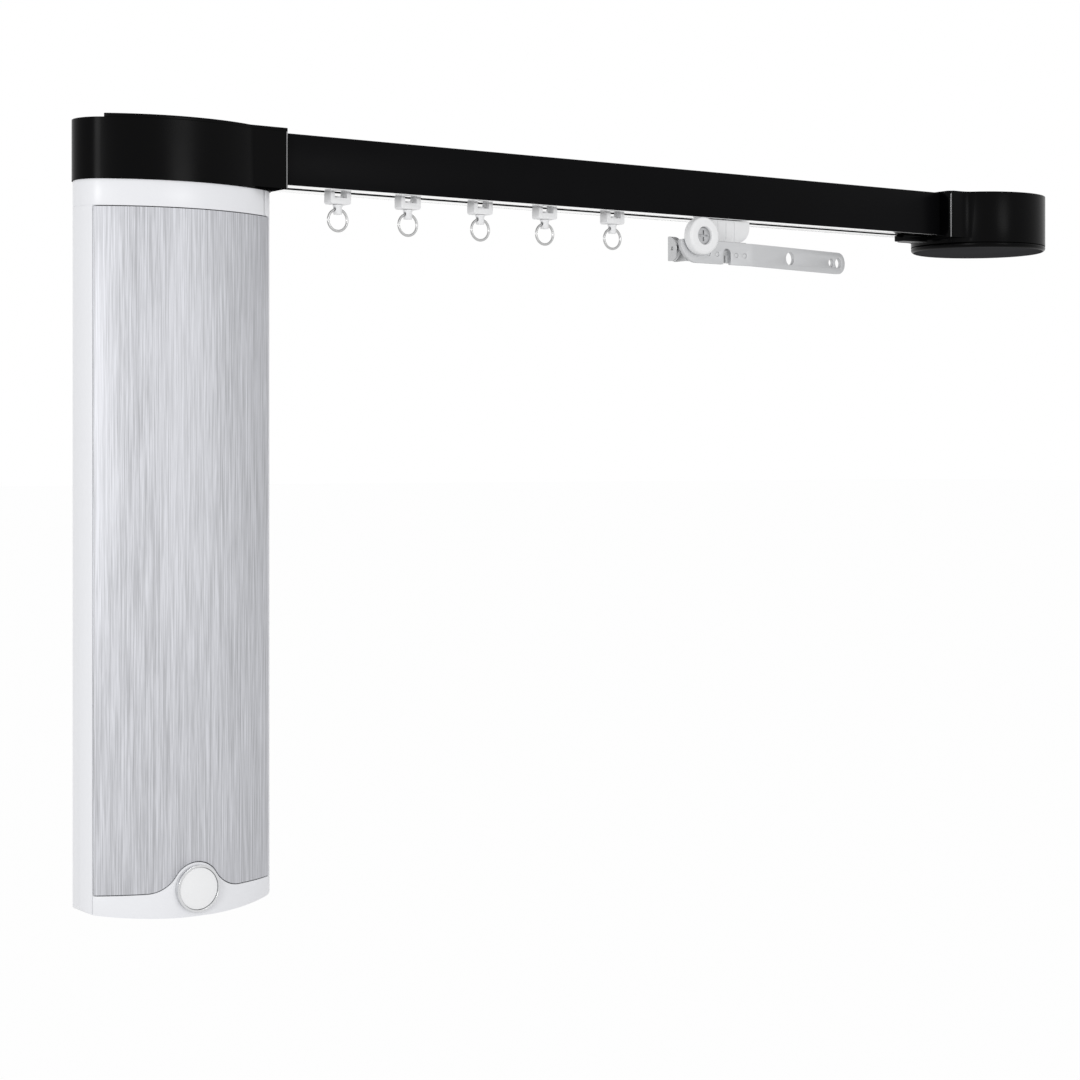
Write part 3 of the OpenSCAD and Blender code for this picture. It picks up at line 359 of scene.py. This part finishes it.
def worked_metal(slot, colour, shade, rough, stretch, fineness=4000.0, relief=0.1):
    nodes, links, surface = start_material(slot)
    lines = nodes.new("ShaderNodeGroup")
    lines.node_tree = brushed_group
    lines.inputs["Stretch"].default_value = stretch
    lines.inputs["Fineness"].default_value = fineness
    blend = nodes.new("ShaderNodeMath")
    blend.operation = "MULTIPLY_ADD"
    blend.inputs[1].default_value = LINE_SHARE
    part = nodes.new("ShaderNodeMath")
    part.operation = "MULTIPLY"
    part.inputs[1].default_value = BAND_SHARE
    links.new(lines.outputs["Bands"], part.inputs[0])
    links.new(lines.outputs["Lines"], blend.inputs[0])
    links.new(part.outputs[0], blend.inputs[2])
    tone = ramp_between(nodes, links, blend.outputs[0], 0.0, 1.0)
    dark = tuple(c * shade for c in colour)
    links.new(tint(nodes, links, tone, dark, colour), surface.inputs["Base Color"])
    links.new(ramp_between(nodes, links, lines.outputs["Lines"], *rough), surface.inputs["Roughness"])
    surface.inputs["Metallic"].default_value = 1.0
    bump(nodes, links, lines.outputs["Lines"], relief, SCRATCH_DEPTH, surface)


worked_metal("brushed_cover", (0.66, 0.666, 0.70), 0.62, (0.48, 0.60), ALONG_Z, fineness=2000.0, relief=0.12)
worked_metal("badge_chrome", (0.68, 0.685, 0.695), 0.95, (0.08, 0.14), EVEN, fineness=800.0, relief=0.02)
worked_metal("machine_steel", (0.50, 0.505, 0.515), 0.85, (0.46, 0.56), EVEN)
worked_metal("rotor_iron", (0.40, 0.26, 0.17), 0.7, (0.4, 0.55), LAYERED_Z, fineness=600.0)
worked_metal("pulley_metal", (0.20, 0.21, 0.22), 0.85, (0.35, 0.5), EVEN)
worked_metal("bearing_brass", (0.62, 0.45, 0.20), 0.85, (0.3, 0.42), EVEN)
worked_metal("ring_wire", (0.52, 0.52, 0.52), 0.9, (0.2, 0.3), EVEN, fineness=900.0, relief=0.03)
worked_metal("arm_steel", (0.60, 0.605, 0.615), 0.94, (0.5, 0.6), ALONG_X, fineness=3000.0, relief=0.06)
worked_metal("bracket_steel", (0.54, 0.545, 0.55), 0.9, (0.45, 0.58), ALONG_X, fineness=3000.0, relief=0.08)
worked_metal("bumper_metal", (0.58, 0.585, 0.59), 0.9, (0.25, 0.36), EVEN, fineness=1500.0, relief=0.05)
worked_metal("slide_bright", (0.93, 0.93, 0.93), 0.97, (0.10, 0.16), ALONG_X, fineness=3000.0, relief=0.03)
# Painted highlight: this bright metal draws a line of light on the black neck corners.
worked_metal("painted_highlight_edge", (0.30, 0.30, 0.305), 0.8, (0.12, 0.2), EVEN, fineness=1500.0, relief=0.03)
print("all finishes:", len(finishes))

# %% [markdown]
# ## A finish on every CAD node
# Each node's slot is in the record, so one loop hands out the finishes. The inner parts keep their CAD
# shape, because only the outside shows.

# %% Hand out the finishes
slot_of = {part["node"]: part["material_slot"] for part in frame["record"]["subparts"]}
bodies = frame["record"]["behaviour"]["bodies"]
body_of = {node: body for body, nodes in bodies.items() for node in nodes}
for node, slot in slot_of.items():
    holder = frame["nodes"][node].data
    holder.materials.clear()
    holder.materials.append(finishes[slot])
print("nodes with a finish:", len(slot_of))

# %% [markdown]
# ## Soft edges
# No moulded, rolled or cut edge is perfectly sharp. A thin round on each edge catches a line of light,
# and that line is what makes a render look real. It could be painted into the shading, but then the
# outline would stay sharp. Here the solid's mesh is copied, its triangles are joined into faces, and a
# bevel rounds each edge that turns by more than a set angle.

# %% Define the soft copy
WELD_DISTANCE = 2e-6
FLAT_TURN = math.radians(0.4)
EDGE_TURN = math.radians(35)
SMOOTH_TURN = math.radians(32)
MM = 0.001


def pick(piece):
    bpy.ops.object.select_all(action="DESELECT")
    piece.select_set(True)
    bpy.context.view_layer.objects.active = piece


def plain_copy(node):
    piece = bpy.data.objects.new(node + "_soft", frame["nodes"][node].data.copy())
    bpy.context.scene.collection.objects.link(piece)
    pick(piece)
    bpy.ops.mesh.customdata_custom_splitnormals_clear()
    bpy.ops.object.mode_set(mode="EDIT")
    bpy.ops.mesh.select_all(action="SELECT")
    bpy.ops.mesh.remove_doubles(threshold=WELD_DISTANCE)
    bpy.ops.mesh.dissolve_limited(angle_limit=FLAT_TURN)
    bpy.ops.object.mode_set(mode="OBJECT")
    return piece


def soften(piece, round_mm, segments=3):
    pick(piece)
    edges = piece.modifiers.new("soft_edges", "BEVEL")
    edges.width = round_mm * MM
    edges.segments = segments
    edges.limit_method = "ANGLE"
    edges.angle_limit = EDGE_TURN
    edges.use_clamp_overlap = True
    bpy.ops.object.modifier_apply(modifier=edges.name)
    bpy.ops.object.shade_smooth_by_angle(angle=SMOOTH_TURN)


def stand_for(piece, node):
    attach(piece, body_of[node])
    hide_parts(node)
    print(piece.name, "faces:", len(piece.data.polygons))


def soft_copy(node, round_mm, segments=3):
    piece = plain_copy(node)
    soften(piece, round_mm, segments)
    stand_for(piece, node)
    return piece


# %% [markdown]
# ## The motor
# The white rear shell and the aluminium front meet in a thin upright joint, and the collar and the cap
# close the two ends. Sheet metal has tighter edges than moulded plastic, so the cover gets a smaller
# round than the white pieces.

# %% Soften the motor
for node, round_mm in (("rear_shell", 0.4), ("front_cover", 0.3), ("collar", 0.4), ("bottom_cap", 0.5)):
    soft_copy(node, round_mm)

# %% [markdown]
# ## The collar's joint
# The collar is a band whose two ends meet at the right of the front, in a joint as thin as a knife's
# cut. A dark line could be painted there, but from the side it would stay flat. Two bisecting planes
# mark the joint on the mesh, and the faces between them are extruded into the wall.

# %% Cut the collar's joint
JOINT_Y = -0.0105
JOINT_WIDTH = 0.0004
JOINT_INTO = (-0.0003, 0.0005, 0)
FACING_RIGHT = 0.3

collar = bpy.data.objects["collar_soft"]
pick(collar)
bpy.ops.object.mode_set(mode="EDIT")
bpy.ops.mesh.select_mode(type="FACE")
for y in (JOINT_Y, JOINT_Y + JOINT_WIDTH):
    bpy.ops.mesh.select_all(action="SELECT")
    bpy.ops.mesh.bisect(plane_co=(0, y, 0), plane_no=(0, 1, 0))
bpy.ops.mesh.select_all(action="DESELECT")
bpy.ops.object.mode_set(mode="OBJECT")
joint_faces = 0
for face in collar.data.polygons:
    between = JOINT_Y < face.center.y < JOINT_Y + JOINT_WIDTH
    face.select = between and face.center.x > 0 and face.normal.x > FACING_RIGHT
    joint_faces += face.select
bpy.ops.object.mode_set(mode="EDIT")
bpy.ops.mesh.extrude_region_move(TRANSFORM_OT_translate={"value": JOINT_INTO})
bpy.ops.object.mode_set(mode="OBJECT")
print("faces in the collar's joint:", joint_faces)

# %% [markdown]
# ## The badge
# A plain glossy disc sits in a thin bright ring on the cap's hump. The ring is turned from one piece of
# wire-thin metal, so its edge is nearly fully round. The sockets, the button and the case screws get
# small rounds too.

# %% Soften the badge, the sockets and the button
for node, round_mm in (("badge_ring", 0.25), ("badge_disc", 0.3), ("power_inlet", 0.3),
                       ("data_socket", 0.25), ("program_button", 0.4), ("case_screws", 0.15)):
    soft_copy(node, round_mm)

# %% [markdown]
# ## The head
# The head's oval runs into the flat neck of the track in a hollow curve, as moulded pieces do, because a
# sharp inner corner would crack. The solid has a plain corner there. Its upright edge is found by its
# place, and a bevel with a few segments makes the hollow curve from it. The neck's outer corners are
# rounded in the same way.

# %% Round the head's upright corners
NECK_CORNER_FROM = 0.024
NECK_CORNER_TO = 0.028
NECK_CORNER_HALF = 0.0149
NECK_HOLLOW = 1.5
NECK_END_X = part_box("head_housing")[1][0]
NECK_END_REACH = 0.0003
NECK_END_HALF = 0.012
NECK_END_ROUND = 0.9
CORNER_SEGMENTS = 4
SAME_PLACE = 1e-5


def round_edges(piece, wanted, width_mm, segments=CORNER_SEGMENTS):
    pick(piece)
    bpy.ops.object.mode_set(mode="EDIT")
    bpy.ops.mesh.select_mode(type="EDGE")
    bpy.ops.mesh.select_all(action="DESELECT")
    bpy.ops.object.mode_set(mode="OBJECT")
    found = 0
    for edge in piece.data.edges:
        first, second = (piece.data.vertices[v].co for v in edge.vertices)
        if wanted(first, second):
            edge.select = True
            found += 1
    bpy.ops.object.mode_set(mode="EDIT")
    if found:
        bpy.ops.mesh.bevel(offset=width_mm * MM, segments=segments, affect="EDGES", clamp_overlap=True)
    bpy.ops.object.mode_set(mode="OBJECT")
    print(piece.name, "edges rounded:", found)


def upright(first, second):
    return math.hypot(second.x - first.x, second.y - first.y) < SAME_PLACE


def at_neck_corner(first, second):
    near = NECK_CORNER_FROM < first.x < NECK_CORNER_TO and abs(first.y) > NECK_CORNER_HALF
    return near and upright(first, second)


def at_neck_end_corner(first, second):
    near = first.x > NECK_END_X - NECK_END_REACH and abs(first.y) > NECK_END_HALF
    return near and upright(first, second)


for node in ("head_housing", "head_lid"):
    piece = plain_copy(node)
    round_edges(piece, at_neck_corner, NECK_HOLLOW)
    round_edges(piece, at_neck_end_corner, NECK_END_ROUND)
    soften(piece, round_mm=0.4)
    stand_for(piece, node)
soft_copy("head_screws", round_mm=0.12)

# %% [markdown]
# ## Painted highlights and matte undersides
# A moulded black piece is satin on its faces. The narrow faces on the neck's outer corners get a bright
# metal finish as a painted highlight, a line of light drawn into the colour. That could be a mask in the
# material, but the bevel already made those narrow faces. Picking them by place and giving them a
# second finish keeps both finishes simple. The faces that look down get a matte finish with no shine.

# %% Paint a highlight on the neck's end and dull the underside
SLANT = 0.15
STEEP = 0.5
FACING_DOWN = -0.9


def second_finish(piece, finish, wanted):
    piece.data.materials.append(finishes[finish])
    place = len(piece.data.materials) - 1
    count = 0
    for face in piece.data.polygons:
        if wanted(face):
            face.material_index = place
            count += 1
    print(piece.name, "faces in", finish, count)


def slanting(face):
    return min(abs(face.normal.x), abs(face.normal.y)) > SLANT and abs(face.normal.z) < STEEP


def at_neck_end(face):
    return slanting(face) and face.center.x > NECK_END_X - NECK_END_ROUND * MM


def looking_down(face):
    return face.normal.z < FACING_DOWN


head = bpy.data.objects["head_housing_soft"]
# Painted highlight on the rounded corners at the head's neck end.
second_finish(head, "painted_highlight_edge", at_neck_end)
second_finish(head, "black_matte", looking_down)

# %% [markdown]
# ## The track
# The profile is one extrusion. Its black coat is satin on the front, while the two narrow faces that the
# gliders' feet pass are pale and read as a bright band under the track. They could be two loose strips,
# but on the real one they are part of the extrusion, so the faces that look down get a second finish.

# %% Soften the track and brighten its underside
TRACK_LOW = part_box("track_profile")[0][2]
TRACK_REACH = 0.0002
UNDERSIDE_TURN = -0.8


def on_underside(face):
    return face.normal.z < UNDERSIDE_TURN and face.center.z < TRACK_LOW + TRACK_REACH


track = soft_copy("track_profile", round_mm=0.3)
second_finish(track, "slide_bright", on_underside)

# %% [markdown]
# ## The idler end
# A housing with a short neck closes the far end of the track, and a round cover shuts it from below.
# The neck's corners have a larger round than the rest, and only its middle faces get the bright metal
# finish, a painted highlight, so that the line of light stays thin. The cover's flat underside is a
# lighter grey, a painted reflection of the floor below.

# %% Soften the idler's cover and small pieces
PUCK_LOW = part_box("idler_cover")[0][2]
PUCK_REACH = 0.0003


def under_puck(face):
    return looking_down(face) and face.center.z < PUCK_LOW + PUCK_REACH


for node, round_mm in (("end_stop", 0.4), ("idler_cover", 0.25), ("tension_screw", 0.15)):
    soft_copy(node, round_mm)
# Painted reflection of the floor on the cover's flat underside.
second_finish(bpy.data.objects["idler_cover_soft"], "puck_painted_reflection", under_puck)

# %% Round the idler's housing
IDLER_NECK_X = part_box("idler_housing")[0][0]
IDLER_NECK_REACH = 0.0005
IDLER_NECK_HALF = 0.015
IDLER_NECK_ROUND = 2
IDLER_NECK_SEGMENTS = 8
IDLER_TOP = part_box("idler_housing")[1][2]
IDLER_TOP_ROUND = 1.3
HIGHLIGHT_FROM = -0.75
HIGHLIGHT_TO = -0.5


def at_idler_corner(first, second):
    near = first.x < IDLER_NECK_X + IDLER_NECK_REACH and abs(first.y) > IDLER_NECK_HALF
    return near and upright(first, second)


def at_idler_top(first, second):
    return min(first.z, second.z) > IDLER_TOP - SAME_PLACE


# Mask for the painted highlight on the idler neck's rounded corner.
def at_idler_neck_end(face):
    on_round = face.center.x < IDLER_NECK_X + IDLER_NECK_ROUND * MM
    return on_round and slanting(face) and HIGHLIGHT_FROM < face.normal.x < HIGHLIGHT_TO


idler = plain_copy("idler_housing")
round_edges(idler, at_idler_corner, IDLER_NECK_ROUND, IDLER_NECK_SEGMENTS)
round_edges(idler, at_idler_top, IDLER_TOP_ROUND)
soften(idler, round_mm=0.8)
stand_for(idler, "idler_housing")
# Painted highlight on the middle faces of the idler neck's rounded corner.
second_finish(idler, "painted_highlight_edge", at_idler_neck_end)
second_finish(idler, "black_matte", looking_down)

# %% [markdown]
# ## The master carrier
# A white block hangs on the belt inside the track. It carries a guide disc, a pressed arm with hook
# holes and a folded bracket with a ribbed stop. Pressed sheet gets small rounds, and the moulded block
# gets larger ones.

# %% Soften the master carrier
for node, round_mm in (("carriage_body", 0.5), ("curtain_arm", 0.3), ("arm_bracket", 0.3),
                       ("bumper_bolt", 0.3), ("disc_screw", 0.2), ("arm_rivets", 0.2)):
    soft_copy(node, round_mm)
soft_copy("guide_disc", round_mm=0.6, segments=4)

# %% [markdown]
# ## The gliders
# Five moulded gliders run in the slot. Each has a foot, a swivelling eyelet and a sprung ring for the
# curtain's hook.

# %% Soften the gliders
GLIDERS = 5
for index in range(1, GLIDERS + 1):
    soft_copy(f"glider_body_{index}", round_mm=0.35)
    soft_copy(f"eyelet_{index}", round_mm=0.25)
    soft_copy(f"ring_{index}", round_mm=0.1)
